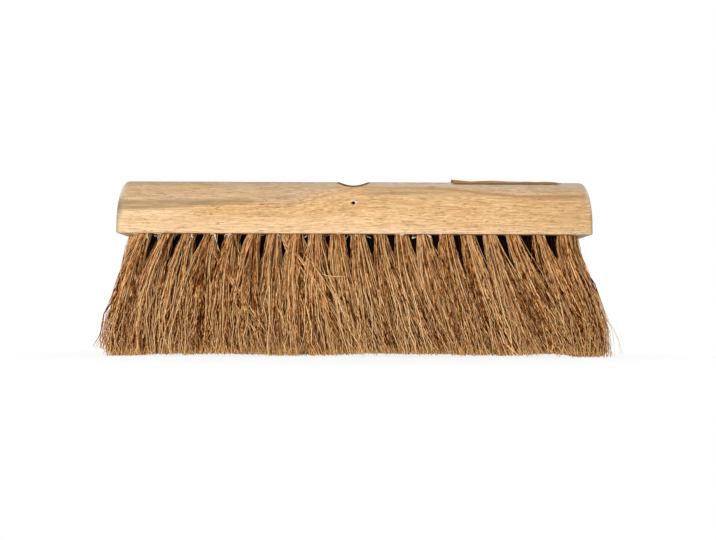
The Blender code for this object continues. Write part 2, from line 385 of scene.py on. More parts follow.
class Timber(Finish):
    """A finish that follows the timber's grain. Its rings lie round a heart below the stock, and they
    arch over the handle's place and dip to the left of it."""

    def __init__(self, name, **constants):
        super().__init__(name, **constants)
        self.x, self.y, z = self.place()
        self.height = z - UNDERSIDE / MM
        arch = self.rise(self.x, 120, 44) * 2.9
        dip = self.rise(self.x, 5, -45) * 7.5
        drift = (self.noise((self.x * 0.009, self.y * 0.026, self.height * 0.026)) - 0.5) * 3.5
        depth, level = self.y - 12, self.height + 46
        bend = 0.4 + self.rise(self.height, 4, 18) * 0.6
        self.ring = self.distance(depth, level) + (dip - arch) * bend + drift
        self.around = self.math("ARCTAN2", depth, level) * 60

    def grain(self, length, across, detail=2.0, roughness=0.5):
        """Noise with spots of this length along the grain and this width across it."""
        place = self.x / length, self.ring / across, self.around / across
        return self.noise(place, detail, roughness)

    def on_front(self):
        return self.rise(self.y, 4, -4)

    def from_end(self):
        return STOCK_LENGTH / 2 / MM - abs(self.x)

    def facing(self):
        """The way that a point of the surface faces."""
        return self.split(self.add("ShaderNodeTexCoord", output="Normal"))


def rubberwood():
    """Pale plain-sawn hardwood: warm streaks, short dark vessels, a grey-olive stain on the left, and a
    crest painted greyer as a sheen."""
    wood = Timber("rubberwood", Specular_IOR_Level=0.42, Sheen_Weight=0.06, Sheen_Roughness=0.4)
    streaks, fibres = wood.grain(26, 1.1, 4, 0.66), wood.grain(11, 0.6)
    crest = figure(wood, streaks)
    front_stains(wood)
    marks(wood)
    end = sawn_ends(wood)
    under, saw_marks = sawn_underside(wood)
    wood.lay(wood.rise(fibres, 0.44, 0.7) * 0.6, 180, 133, 82)
    dashes = wood.rise(wood.grain(7.5, 0.62, 1), 0.6, 0.7)
    wood.lay(dashes * 0.6, 160, 112, 66)
    patches = wood.noise((wood.x * 0.016, wood.y * 0.04, wood.height * 0.04), 1)
    vessels = wood.rise(wood.grain(3.4, 0.5, 1), 0.63, 0.74) * wood.rise(patches, 0.34, 0.6)
    wood.lay(vessels * 0.75, 128, 86, 50)
    relief = streaks * 0.4 + fibres * 0.5 - vessels * 1.2 + under * saw_marks * 2
    roughness = 0.44 + fibres * 0.16 + vessels * 0.2 + end * 0.12 + under * 0.2 - crest * 0.1
    wood.finish(roughness, wood.bump(relief, 0.12 * MM, 0.8))


def figure(wood, streaks):
    """Streaks and flecks, a dark ring line with warmer wood within it, a second line near the right
    end, the lower front painted paler as light from the front, and a greyer painted sheen on the crest.
    Gives where the crest is."""
    x, height, ring, front = wood.x, wood.height, wood.ring, wood.on_front()
    bands = wood.grain(220, 5, 3)
    flecks = wood.grain(3.2, 0.75, 2, 0.7)
    wood.start(
        streaks * 0.66 + bands * 0.34,
        (0.3, 166, 116, 64),
        (0.42, 204, 157, 100),
        (0.53, 228, 187, 131),
        (0.7, 249, 220, 174),
    )
    wood.lay(wood.rise(flecks, 0.5, 0.72) * 0.6, 250, 222, 178)
    wood.lay(wood.rise(flecks, 0.5, 0.3) * 0.6, 190, 142, 90)
    wood.lay(wood.rise(ring, HEART_RING + 1, HEART_RING - 2) * 0.3, 232, 182, 118)
    line = wood.bell(ring - HEART_RING, 0.5) * front * wood.rise(x, -64, -40)
    wood.lay(line * (0.35 + wood.rise(x, 0, 45) * 0.4), 154, 112, 72)
    second = wood.bell(ring - (HEART_RING - 1.2), 0.6) * front * wood.rise(x, 70, 105)
    wood.lay(second * 0.4, 168, 122, 74)
    # Painted light: the lower front laid paler where the front lamp falls, most of all along its bottom
    # edge
    foot = wood.rise(height, 12, 1) * (1 - wood.rise(x, 48, 64) * 0.5)
    foot = foot + wood.rise(height, 3.6, 1.4) * wood.rise(x, -20, 20) * 0.9
    wood.lay(foot * 0.45, 246, 212, 170)
    # Painted sheen: the crest laid greyer and paler, as a reflection of the bright studio
    crest = wood.rise(ring, HEART_RING, HEART_RING + 3) * (0.44 + wood.rise(x, -20, 45) * 0.2)
    wood.lay(crest, 198, 175, 150)
    return crest


def front_stains(wood):
    """An olive band below the crest and a pale grey painted sheen just under the crest, paler wood at
    the left end, duller wood at the right one, a grey-olive stain that the grain parts, and a yellow
    spot over it."""
    x, height, front = wood.x, wood.height, wood.on_front()

    def band(middle, half_height, *fades):
        """A band along the front. Each fade is the x where it starts and the x where it is full."""
        shade = wood.bell(height - middle, half_height) * front
        for start, full in fades:
            shade = shade * wood.rise(x, start, full)
        return shade

    wood.lay(band(27.2, 2.8, (3, 14), (96, 44)) * 0.45, 172, 146, 102)
    # Painted sheen: a pale grey band just under the crest
    crest_sheen_band = band(34.5, 3, (-98, -76)) * 0.3 + band(34.5, 3, (4, 26)) * 0.42
    wood.lay(crest_sheen_band, 226, 210, 190)
    wood.lay(band(12.5, 3.4, (-88, -118)) * 0.45, 252, 230, 192)
    dull = wood.rise(x, 92, 138) * wood.rise(height, 35, 29) * front
    wood.dye(dull * 0.6, 236, 232, 226)
    off_middle = abs(height - 18.3 - (x + 140) * 0.032) + wood.rise(x, -128, -84) * 1.3
    stain = wood.rise(off_middle, 4.4, 2) * wood.rise(x, -48, -84) * wood.rise(wood.y, 0, -14)
    parted = wood.rise(wood.grain(30, 1.5, 3, 0.6), 0.4, 0.6)
    wood.lay(stain * (0.45 + parted * 0.5), 152, 132, 97)
    yellow = wood.bell(wood.distance((x + 104) / 5, height - 31.7), 1.5) * front
    wood.lay(yellow * 0.5, 218, 184, 114)


def marks(wood):
    """A pale ring round the pilot hole, the front's knots and streaks, and painted shade round the
    handle socket's mouth."""
    x, y, height = wood.x, wood.y, wood.height
    from_pilot = wood.distance(x - (SOCKET_X / MM + 0.5), height - (PILOT_HEIGHT / MM + 0.3))
    halo = wood.rise(from_pilot, 2.1, 1.4) * wood.rise(y, -18, -20)
    wood.lay(halo * 0.85, 246, 226, 196)
    for mark_x, mark_height, half_height, stretch, share in MARKS:
        from_mark = wood.distance((x - mark_x) / stretch, height - mark_height)
        mark = wood.bell(from_mark, half_height) * wood.rise(y, 0, -9)
        wood.lay(mark * share, 132, 96, 66)
    # Painted shade: dark brown on the handle socket's walls and just round its mouth
    forward = y + SOCKET_FORWARD / MM
    above = height - dome_height(SOCKET_FORWARD) / MM
    across = forward * math.cos(SOCKET_TILT) + above * math.sin(SOCKET_TILT)
    from_wall = wood.distance(x - SOCKET_X / MM, across) - SOCKET_RADIUS / MM
    socket_rim_shade = wood.rise(from_wall, 1.3, 0.5) * wood.rise(height, 24, 27)
    wood.lay(socket_rim_shade * 0.85, 84, 56, 34)


def sawn_ends(wood):
    """Painted highlights along the ends' rims and upper edges, painted shade where the left rim turns
    away and along the lowest end edges, and darker end grain with its growth rings. Gives where the end
    grain is."""
    x, height, from_end = wood.x, wood.height, wood.from_end()
    facing_x, _, _ = wood.facing()
    end = wood.rise(abs(facing_x), 0.93, 0.99)
    beside = 1 - end
    # Painted highlight: pale grey along both ends' rims above the foot, and faintly all along the left
    # one
    rim = wood.rise(from_end, 4.8, 1.4) * beside
    on_left = wood.math("LESS_THAN", x, 0)
    wood.lay(rim * (on_left * 0.25 + wood.rise(height, 9, 20) * 0.45), 206, 194, 178)
    # Painted shade: a grey-brown band where the left rim turns away from the light
    wood.lay(rim * wood.bell(height - 17.5, 5.5) * on_left * 0.8, 126, 106, 80)
    # Painted shade: darker along the very edge of both ends, low down
    end_edge_shade = wood.rise(from_end, 2.6, 0.4) * wood.rise(height, 18, 9) * beside
    wood.lay(end_edge_shade * 0.55, 136, 118, 96)
    wood.dye(end * 0.6, 160, 132, 100)
    growth = wood.rise(wood.noise((wood.ring / 1.7, 0)), 0.44, 0.64)
    wood.lay(end * growth * 0.5, 150, 108, 66)
    # Painted highlight: pale along the ends' upper edges
    arris_highlight = wood.rise(from_end, 2.4, 1.2) * wood.rise(height, 20, 28) * beside
    wood.lay(arris_highlight * 0.75, 236, 230, 222)
    return end


def sawn_underside(wood):
    """A darker underside, partly sawn wood and partly painted shade, with saw marks across it, painted
    light near its ends and painted shade between the rows of holes. Gives where it is, and the saw
    marks."""
    _, _, facing_z = wood.facing()
    under = wood.rise(facing_z, -0.6, -0.9)
    saw_marks = wood.noise((wood.x / 0.7, wood.y / 40), 1)
    # Darker underside, partly as sawn wood and partly as painted shade
    wood.dye(under * (0.25 + saw_marks * 0.3), 210, 168, 136)
    from_end, outer_row = wood.from_end(), OUTER_ROW_Y / MM
    # Painted light: the underside laid paler near the ends, where it shows
    wood.lay(under * wood.rise(from_end, 13, 8) * 0.7, 255, 240, 214)
    # Painted shade: the underside between the rows of holes, away from the ends, laid near black
    between = wood.rise(from_end, 8, 13) * wood.rise(abs(wood.y), outer_row + 6, outer_row + 1)
    wood.dye(under * between * 0.8, 66, 42, 28)
    return under, saw_marks


def drilled_wood():
    """The walls of the drilled holes, dulled and darker than the stock, partly as wood a little
    scorched by the bit and partly as painted shade within the holes, with its rings.
    """
    wood = Timber("drilled wood", Specular_IOR_Level=0.25)
    streaks = wood.grain(20, 1.2, 3)
    rings = wood.math("SINE", wood.height / 0.16) * 0.5 + 0.5
    wood.start(streaks, (0.3, 104, 68, 40), (0.5, 138, 98, 62), (0.7, 166, 124, 84))
    wood.lay(rings * 0.25, 82, 52, 30)
    wood.finish(0.7 + rings * 0.15, wood.bump(rings + streaks, 0.08 * MM))


def coir_fibre():
    """Coconut fibre: each fibre lighter or darker than the next and along its own length, a few locks
    redder, painted light making it lighter to the left and darker to the right, painted shade in the
    middle of each tuft, in the inner rows and at the roots, paler at both ends of the head, with pale
    cuts at the tips and a dull gloss."""
    coir = Finish("coir fibre", Specular_IOR_Level=0.06, Specular_Tint=(1, 0.7, 0.4, 1))
    tone, lock, along = coir.stored("tone"), coir.stored("lock"), coir.stored("along")
    x, y, z = coir.place()
    drop = UNDERSIDE / MM - z
    mottle = coir.noise((x / 2, y / 2, z / 7), 3, 0.6)
    dash = coir.noise((tone * 173, along * 8 + along * along * 10, lock * 37), 3, 0.65)
    value = tone * 1.25 + lock * 0.06 + mottle * 0.15 + dash * 3.4 + along * 0.08 - 1.81
    # Painted light: lighter towards the left end and darker towards the right, as light falls from the
    # left
    value = value + coir.rise(x, -90, -150) * 0.05 - coir.rise(x, 80, 150) * 0.12
    value = value + (tone + dash - 0.94) * coir.rise(along, 0.3, 1) * 0.45
    coir.start(
        value,
        (0.04, 77, 33, 7),
        (0.28, 153, 90, 37),
        (0.5, 216, 149, 83),
        (0.72, 249, 190, 122),
        (0.92, 255, 214, 156),
    )
    coir.lay(coir.rise(lock, 0.62, 0.9) * 0.12, 184, 108, 56)
    # Painted shade: fibres nearer the middle of their tuft laid darker, less so towards the tips
    tuft_shade = coir.rise(coir.stored("depth"), 0.18, 0.68) * (1 - coir.rise(abs(x), 148, 158))
    coir.dye(tuft_shade * (0.75 - along * 0.25), 114, 54, 14)
    # Painted shade: the inner rows' upper fibres, within the stock's length, laid near black
    last_hole = (OUTER_TUFT_X - HOLE_RADIUS) / MM
    inner_row_shade = coir.rise(drop, 38, 18) * coir.rise(abs(x), last_hole, last_hole - 8)
    coir.dye(coir.stored("inner") * inner_row_shade * 0.98, 30, 16, 10)
    # Painted shade: darker below the stock, strongest a little under the underside
    root = 0.09 + coir.rise(drop, 27, 12) * coir.rise(drop, 2, 8) * 0.13
    coir.dye(root * coir.rise(drop, 40, 20), 150, 96, 54)
    coir.lay(coir.rise(along, 0.925, 1) * 0.62, 250, 198, 124)
    coir.lay(coir.rise(abs(x), 154, 160) * 0.65, 240, 202, 158)
    coir.finish(0.5 + mottle * 0.2 + along * 0.1, coir.bump(mottle, 0.05 * MM))


def torn_wood():
    """Pale slivers that the bit tore up round the holes' mouths."""
    wood = Finish("torn wood", Specular_IOR_Level=0.3)
    x, y, z = wood.place()
    streaks = wood.noise((x / 0.8, y / 0.8, z / 0.8))
    wood.start(streaks, (0.3, 236, 212, 178), (0.7, 255, 248, 232))
    wood.finish(0.6 + streaks * 0.2, wood.bump(streaks, 0.05 * MM))


def kraft_paper():
    """Brown wrapping paper: fine felted fibres, faint mottling and browned edges."""
    paper = Finish("kraft paper", Specular_IOR_Level=0.2)
    x, y, z = paper.place()
    felt = paper.noise((x / 0.5, y / 0.25, z / 0.5), 4, 0.7)
    mottle = paper.noise((x / 7, y / 5, z / 7))
    brown = felt * 0.6 + mottle * 0.4
    paper.start(brown, (0.3, 150, 104, 62), (0.5, 186, 134, 84), (0.72, 214, 164, 112))
    paper.lay(paper.stored("edge") * 0.4, 112, 74, 42)
    paper.finish(0.78 + felt * 0.14, paper.bump(felt, 0.06 * MM))


def anchor_steel():
    """Rolled steel wire, streaked along its length and spotted with a little rust."""
    steel = Finish("anchor steel", Metallic=0.9)
    x, y, z = steel.place()
    rolled = steel.noise((x / 4, y / 0.3, z / 0.2))
    rust = steel.rise(steel.noise((x, y, z), 3), 0.55, 0.75)
    steel.start(rolled, (0.3, 150, 150, 152), (0.7, 196, 196, 198))
    steel.lay(rust * 0.6, 124, 74, 44)
    steel.finish(0.32 + rolled * 0.15 + rust * 0.3)


def link(obj):
    bpy.context.scene.collection.objects.link(obj)
    return obj


def object_from(name, bm, *materials):
    """A shown object from a bmesh, its faces pointing out."""
    bmesh.ops.recalc_face_normals(bm, faces=bm.faces)
    mesh = bpy.data.meshes.new(name)
    bm.to_mesh(mesh)
    bm.free()
    for material in materials:
        mesh.materials.append(material)
    return link(bpy.data.objects.new(name, mesh))


def settle(obj):
    """Puts a plain mesh object, with the modifiers worked in, in the place of another object."""
    graph = bpy.context.evaluated_depsgraph_get()
    mesh = bpy.data.meshes.new_from_object(obj.evaluated_get(graph))
    name = obj.name
    bpy.data.objects.remove(obj)
    return link(bpy.data.objects.new(name, mesh))


def fit(piece, slot, *nodes):
    """Puts a finished piece on the head in place of these nodes."""
    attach(piece, "root")
    if nodes:
        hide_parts(*nodes)


def dome_height(y):
    """Height of the dome above the underside, this far from the middle."""
    reach = min(abs(y) / (STOCK_WIDTH / 2), 1)
    return SIDE_HEIGHT + DOME_RISE * (1 - reach**DOME_POWER) ** (1 / DOME_POWER)


def stock_section():
    """The stock's outline as (y, height above the underside), from the front foot over the dome."""
    half = STOCK_WIDTH / 2
    points = [(-half, 0)]
    for step in range(DOME_STEPS + 1):
        angle = math.pi * step / DOME_STEPS
        across, up = math.cos(angle), abs(math.sin(angle))
        y = -math.copysign(half * abs(across) ** (2 / DOME_POWER), across)
        points.append((y, SIDE_HEIGHT + DOME_RISE * up ** (2 / DOME_POWER)))
    points.append((half, 0))
    return points


def skin(bm, rings):
    """A closed skin over rings of as many corners each."""
    for ring, after in zip(rings, rings[1:]):
        for i in range(len(ring)):
            j = (i + 1) % len(ring)
            bm.faces.new((ring[i], ring[j], after[j], after[i]))
    bm.faces.new(rings[0])
    bm.faces.new(rings[-1])


def sanded(x, y, height):
    """A point of the stock's skin, as uneven as hand sanding leaves it."""
    if height <= 0:
        return x, y, UNDERSIDE
    place = x / SANDING_LENGTH, y / SANDING_BREADTH, height / SANDING_BREADTH
    rough = noise.noise(Vector(place))
    inward = 1 - SANDING_WAVE * (1 + rough) / STOCK_HEIGHT
    share = min(1, height / SIDE_HEIGHT)
    inward = 1 - (1 - inward) * share
    return x, y * inward, UNDERSIDE + height * inward


def blank_stock():
    """The stock before drilling, its end and lower arrises eased."""
    bm = bmesh.new()
    weight = bm.edges.layers.float.new("bevel_weight_edge")
    section = stock_section()
    loops = []
    for step in range(LENGTH_STEPS + 1):
        x = STOCK_LENGTH * (step / LENGTH_STEPS - 0.5)
        loops.append([bm.verts.new(sanded(x, y, height)) for y, height in section])
    skin(bm, loops)
    for loop in (loops[0], loops[-1]):
        for i in range(len(loop)):
            edge = bm.edges.get((loop[i - 1], loop[i]))
            share = (max(section[i - 1][1], section[i][1]) / STOCK_HEIGHT) ** 2
            edge[weight] = (FOOT_ARRIS + (END_ARRIS - FOOT_ARRIS) * share) / END_ARRIS
    for loop, after in zip(loops, loops[1:]):
        for i in (0, -1):
            bm.edges.get((loop[i], after[i]))[weight] = LOWER_ARRIS / END_ARRIS
    stock = object_from("stock_blank", bm, bpy.data.materials["rubberwood"])
    bevel = stock.modifiers.new("arrises", "BEVEL")
    bevel.limit_method = "WEIGHT"
    bevel.width = END_ARRIS
    bevel.segments = ARRIS_STEPS
    return stock


def turned_cutter(name, starts, axis, profile, sides):
    """A hidden cutter turned round an axis at each start, from a profile of (distance along the axis,
    radius)."""
    turn = axis.to_track_quat("Z", "X").to_matrix()
    bm = bmesh.new()
    for start in starts:
        rings = []
        for along, radius in profile:
            corners = []
            for side in range(sides):
                angle = math.tau * side / sides
                spot = Vector((radius * math.cos(angle), radius * math.sin(angle), along))
                corners.append(bm.verts.new(start + turn @ spot))
            rings.append(corners)
        skin(bm, rings)
    cutter = object_from(name, bm, bpy.data.materials["drilled wood"])
    cutter.hide_render = True
    return cutter


def cut(stock, cutter):
    boolean = stock.modifiers.new(cutter.name, "BOOLEAN")
    boolean.operation = "DIFFERENCE"
    boolean.solver = "EXACT"
    boolean.material_mode = "TRANSFER"
    boolean.object = cutter
    return cutter


def socket_cutter():
    """The handle socket, which leaves a wall between its floor and the tuft holes."""
    out = Vector((0, -math.sin(SOCKET_TILT), math.cos(SOCKET_TILT)))
    mouth = Vector((SOCKET_X, -SOCKET_FORWARD, UNDERSIDE + dome_height(SOCKET_FORWARD)))
    floor_height = UNDERSIDE + HOLE_DEPTH + SOCKET_WALL + SOCKET_RADIUS * math.sin(SOCKET_TILT)
    floor = mouth - out * (mouth.z - floor_height) / out.z
    reach = (mouth - floor).length + SOCKET_RADIUS + CUTTER_EXCESS
    profile = [
        (0, SOCKET_RADIUS - SOCKET_BREAK),
        (SOCKET_BREAK, SOCKET_RADIUS),
        (reach, SOCKET_RADIUS),
    ]
    return turned_cutter("socket_cutter", [floor], out, profile, SOCKET_SIDES)


def pilot_cutter():
    """The pilot hole, its mouth chipped a little wider than the bit."""
    front = -STOCK_WIDTH / 2
    while dome_height(front) < PILOT_HEIGHT:
        front += MM / 20
    start = Vector((SOCKET_X, front - CUTTER_EXCESS, UNDERSIDE + PILOT_HEIGHT))
    profile = [
        (0, PILOT_RADIUS + PILOT_CHIP),
        (CUTTER_EXCESS, PILOT_RADIUS + PILOT_CHIP),
        (CUTTER_EXCESS + PILOT_CHIP, PILOT_RADIUS),
        (CUTTER_EXCESS + PILOT_DEPTH, PILOT_RADIUS),
    ]
    return turned_cutter("pilot_cutter", [start], Vector((0, 1, 0)), profile, PILOT_SIDES)


def ease(value, low, high):
    """0 below low, 1 above high, smooth between."""
    share = min(1, max(0, (value - low) / (high - low)))
    return share**2 * (3 - 2 * share)


def drifted(x):
    """Where a hole was drilled whose place in an even spacing is x."""
    onset = ease(x, DRIFT_FROM, DRIFT_FULL_FROM)
    return x - HOLE_DRIFT * onset * (1 - ease(x, DRIFT_FULL_TO, DRIFT_TO))


def places_in(row):
    """An even spacing along a row, 0 at the front."""
    count = LONG_ROW_TUFTS - 1 + row % 2
    return [(column - (count - 1) / 2) * TUFT_PITCH for column in range(count)]


def tufts_in(row):
    """The tufts of a row as (x, y)."""
    return [(drifted(x), row * ROW_PITCH - OUTER_ROW_Y) for x in places_in(row)]


def tuft_cutter():
    """All the tuft holes, drilled from below with a pointed bit, their mouths frayed a little wider."""
    profile = [
        (-CUTTER_EXCESS, HOLE_RADIUS + HOLE_FLARE),
        (0, HOLE_RADIUS + HOLE_FLARE),
        (2 * HOLE_FLARE, HOLE_RADIUS),
        (HOLE_DEPTH - HOLE_POINT, HOLE_RADIUS),
        (HOLE_DEPTH, HOLE_POINT_RADIUS),
    ]
    starts = [Vector((x, y, UNDERSIDE)) for row in range(ROWS) for x, y in tufts_in(row)]
    return turned_cutter("tuft_cutter", starts, Vector((0, 0, 1)), profile, HOLE_SIDES)


def make_stock():
    stock = blank_stock()
    cutters = [cut(stock, cutter) for cutter in (socket_cutter(), pilot_cutter(), tuft_cutter())]
    stock = settle(stock)
    for cutter in cutters:
        bpy.data.objects.remove(cutter)
    stock.name = "stock_wood"
    stock.data.shade_smooth()
    stock.data.set_sharp_from_angle(angle=SMOOTH_ANGLE)
    weighted = stock.modifiers.new("flat faces lead", "WEIGHTED_NORMAL")
    weighted.keep_sharp = True
    fit(settle(stock), "hardwood", "stock")


INPUT_KINDS = {int: "Int", float: "Float", bpy.types.Material: "Material"}


class GeometryNodes(Nodes):
    """A geometry tree with an input for each named size, and the nodes that fibres need."""

    def __init__(self, name, sizes, *meshes):
        tree = bpy.data.node_groups.new(name, "GeometryNodeTree")
        kinds = {label: "Geometry" for label in meshes}
        kinds |= {label: INPUT_KINDS[type(value)] for label, value in sizes.items()}
        for label, kind in kinds.items():
            tree.interface.new_socket(label, in_out="INPUT", socket_type="NodeSocket" + kind)
        tree.interface.new_socket("Result", in_out="OUTPUT", socket_type="NodeSocketGeometry")
        super().__init__(tree)
        self.given = self.add("NodeGroupInput")

    def chance(self, who, salt, low=0.0, high=1.0):
        """A random number for each who, the same for the same who and salt."""
        seed = self.given.other("Seed") * 100 + salt
        values = {2: low, 3: high, 7: who, 8: seed}
        return self.add("FunctionNodeRandomValue", {"data_type": "FLOAT"}, values, output=1)

    def swing(self, who, salt, most):
        """A random number between minus most and most, mostly near 0."""
        return (self.chance(who, salt) - self.chance(who, salt + 1)) * most

    def round(self, who, salt, radius):
        """A random spot in a disc."""
        out = self.chance(who, salt) ** 0.5 * radius
        angle = self.chance(who, salt + 1, 0, math.tau)
        return out * self.math("COSINE", angle), out * self.math("SINE", angle)

    def store(self, geometry, name, value, kind="FLOAT", domain="POINT"):
        settings = {"data_type": kind, "domain": domain}
        values = {"Geometry": geometry, "Name": name, "Value": value}
        return self.add("GeometryNodeStoreNamedAttribute", settings, values)

    def named(self, name):
        settings = {"data_type": "FLOAT"}
        return self.add("GeometryNodeInputNamedAttribute", settings, {"Name": name})

    def finish(self, geometry):
        """The tree's last nodes: everything real, smooth and in its material."""
        real = self.add("GeometryNodeRealizeInstances", None, {"Geometry": geometry})
        smooth = self.add("GeometryNodeSetShadeSmooth", None, {"Geometry": real})
        values = {"Geometry": smooth, "Material": self.given.other("Material")}
        self.add("NodeGroupOutput", None, (self.add("GeometryNodeSetMaterial", None, values),))


class CoirRow(GeometryNodes):
    """The tree that grows a row: fibres folded over the wires of its holes, gathered in locks and
    fanned out to tips that are trimmed level."""

    def __init__(self, sizes):
        super().__init__("coir row", sizes)
        given = self.given.other
        self.hairpins = given("Tufts") * given("Hairpins")
        self.index = self.add("GeometryNodeInputIndex")
        self.hairpin = self.math("FLOOR", self.index / RINGS)
        self.step = self.index - self.hairpin * RINGS
        middle = (RINGS - 1) // 2
        self.leg = self.hairpin * 2 + self.math("GREATER_THAN", self.step, middle)
        from_fold = abs(self.step - middle)
        self.in_hole = self.clamp(from_fold)
        self.down = self.clamp((from_fold - 1) / (middle - 1))
        self.lean = 1 - (1 - self.down) ** FAN_BEND
        self.find_root()
        self.choose_habits()
        x, y = self.along_x(), self.along_y()
        values = {"Geometry": self.straight_lines(), "Position": self.join(x, y, self.height(x))}
        curves = self.add("GeometryNodeSetPosition", None, values)
        spots_across = self.math("CEIL", self.hairpins**0.5)
        for name, value in self.carried(spots_across).items():
            curves = self.store(curves, name, value)
        self.finish(self.tubes(curves, self.thickness(x), spots_across))

    def straight_lines(self):
        """A line of points for each hairpin, still to be bent into place."""
        points = self.add("GeometryNodePoints", None, {"Count": self.hairpins})
        line = self.add("GeometryNodeCurvePrimitiveLine")
        line = self.add("GeometryNodeResampleCurve", None, {"Curve": line, "Count": RINGS})
        values = {"Points": points, "Instance": line}
        lines = self.add("GeometryNodeInstanceOnPoints", None, values)
        return self.add("GeometryNodeRealizeInstances", None, {"Geometry": lines})

    def find_root(self):
        """The fibre's tuft, its lock and string in it, and where in the hole it starts."""
        given, leg = self.given.other, self.leg
        self.tuft = self.math("FLOOR", self.hairpin / given("Hairpins"))
        even_x = given("First Tuft X") + self.tuft * given("Pitch")
        drift = given("Drift") * self.rise(even_x, DRIFT_FROM, DRIFT_FULL_FROM)
        self.tuft_x = even_x - drift * self.rise(even_x, DRIFT_TO, DRIFT_FULL_TO)
        lock = self.math("FLOOR", self.chance(leg, 1, 0, LOCKS))
        self.lock = self.tuft * LOCKS + lock
        self.string = self.lock * STRINGS + self.math("FLOOR", self.chance(leg, 8, 0, STRINGS))
        angle = lock * GOLDEN_ANGLE + self.tuft * 1.7
        out = ((lock + 0.5) / LOCKS) ** 0.42 * (given("Hole Radius") - 0.6 * LOCK_RADIUS)
        fibre_x, fibre_y = self.round(leg, 2, LOCK_RADIUS)
        self.root_x = out * self.math("COSINE", angle) + fibre_x
        self.root_y = out * self.math("SINE", angle) + fibre_y

    def choose_habits(self):
        """How the fibre strays, waves and frays on its way down, less so in the outer tufts."""
        leg, down = self.leg, self.down
        self.inner = inner = self.rise(abs(self.tuft_x), 150 * MM, 115 * MM)
        self.curly = curly = self.math("LESS_THAN", self.chance(leg, 9), CURLY_ONES)
        stray = self.math("LESS_THAN", self.chance(leg, 4), STRAYS)
        wild = self.math("LESS_THAN", self.chance(self.lock, 7), WILD_LOCKS)
        self.wild = 1 + wild * 2.2 * inner
        far = self.chance(leg, 3) ** 2 * (0.15 + inner * 0.85) * (12 * MM)
        self.free = (3 * MM + far) * (1 + stray * 1.6 * inner) * down
        wave = self.chance(leg, 5, 0.2 * MM, 1.4 * MM) * down * (1 + stray * inner)
        loop = self.chance(leg, 60, 1.2 * MM, 3.6 * MM) * (0.2 + inner * 0.8)
        self.wave = wave + curly * self.rise(down, 0, 0.2) * loop
        self.turns = self.chance(leg, 6, 0.3, 1.5) * (1 + curly * 0.5) * down * math.tau
        frizz = 0.7 * MM + self.chance(leg, 61) ** 3 * (3.6 * MM)
        self.frayed = (0.42 + down**2 * 1.1) * frizz * self.in_hole

    def place(self, root, centre, fan, reach, swing, salt):
        """One coordinate of the fibre: its root, the fan, the way of its lock, of its string and its
        own, and its curl, held within reach of the middle."""
        leg, down = self.leg, self.down
        fan = fan + self.swing(self.tuft, salt, swing) * self.inner * self.lean
        spread = 1 - (1 - down) ** SPREAD_BEND
        own = root * spread + self.swing(self.lock, salt + 2, LOCK_SWING) * self.wild * self.lean
        own = own + self.swing(self.string, salt + 9, STRING_SWING) * down
        own = own + self.swing(leg, salt + 4, 1.0) * self.free
        own = own + self.swing(leg, salt + 11, TIP_SWING) * down**3
        phase = self.chance(leg, salt + 6, 0, math.tau)
        kink = self.swing(self.index, salt + 7, 1.0) * self.frayed
        curl = (self.math("SINE", self.turns + phase) - self.math("SINE", phase)) * self.wave
        free_place = centre + root * self.in_hole + fan + own + curl + kink
        out = abs(free_place) / reach
        return free_place / (1 + out**30) ** (1 / 30)

    def along_x(self):
        given, tuft_x, down = self.given.other, self.tuft_x, self.down
        fan = tuft_x * given("Fan")
        fan = fan + self.rise(tuft_x, -125 * MM, -148 * MM) * given("Left Squeeze")
        fan = fan - self.rise(tuft_x, 85 * MM, 150 * MM) * given("Right Squeeze")
        eased = self.rise(tuft_x, 18 * MM, 56 * MM) * self.rise(tuft_x, 118 * MM, 80 * MM)
        fan = fan - eased * given("Right Ease")
        bulge = self.rise(tuft_x, 105 * MM, 140 * MM) * down**2 * (1 - down) * BULGE_SCALE
        fan = fan * self.lean + given("Push") * down**PUSH_BEND + bulge * given("Right Bulge")
        return self.place(self.root_x, tuft_x, fan, given("Reach X"), TUFT_SWING[0], 10)

    def along_y(self):
        given = self.given.other
        fan = given("Row Y") * given("Side Lean") * self.lean
        return self.place(self.root_y, given("Row Y"), fan, given("Reach Y"), TUFT_SWING[1], 30)

    def height(self, x):
        """From the fold down to the trimmed tips, which are raised at the left corner."""
        given, down, tuft_x = self.given.other, self.down, self.tuft_x
        tips = self.chance(self.leg, 50) ** 9 * SHORTEST_BY
        uneven = self.chance(self.leg, 51, 0, UNEVEN_TRIM) + self.chance(self.lock, 52, 0, UNEVEN_TRIM)
        place = tuft_x / TRIM_WAVE_LENGTH, given("Row Y") / TRIM_WAVE_LENGTH
        tips = tips + uneven + self.rise(self.noise(place, 1), 0.3, 0.7) * TRIM_WAVE
        tips = tips * (1 - self.rise(abs(tuft_x), 108 * MM, 138 * MM) * 0.75)
        tips = tips + self.rise(x, -149 * MM, -159 * MM) * RAISED_CORNER
        fold = (given("Fold Height") - given("Underside")) * (1 - self.in_hole)
        return given("Underside") * (1 - down) + tips * down + fold

    def thickness(self, x):
        """Finer towards the tips, in curly fibres and beyond both ends of the stock."""
        thick = self.given.other("Fibre Radius") * (0.6 + self.chance(self.hairpin, 54) ** 2 * 0.7)
        outermost = self.rise(abs(x), 155 * MM, 162 * MM)
        return thick * (1 - self.down**3 * 0.3) * (1 - self.curly * 0.5) * (1 - outermost * 0.4)

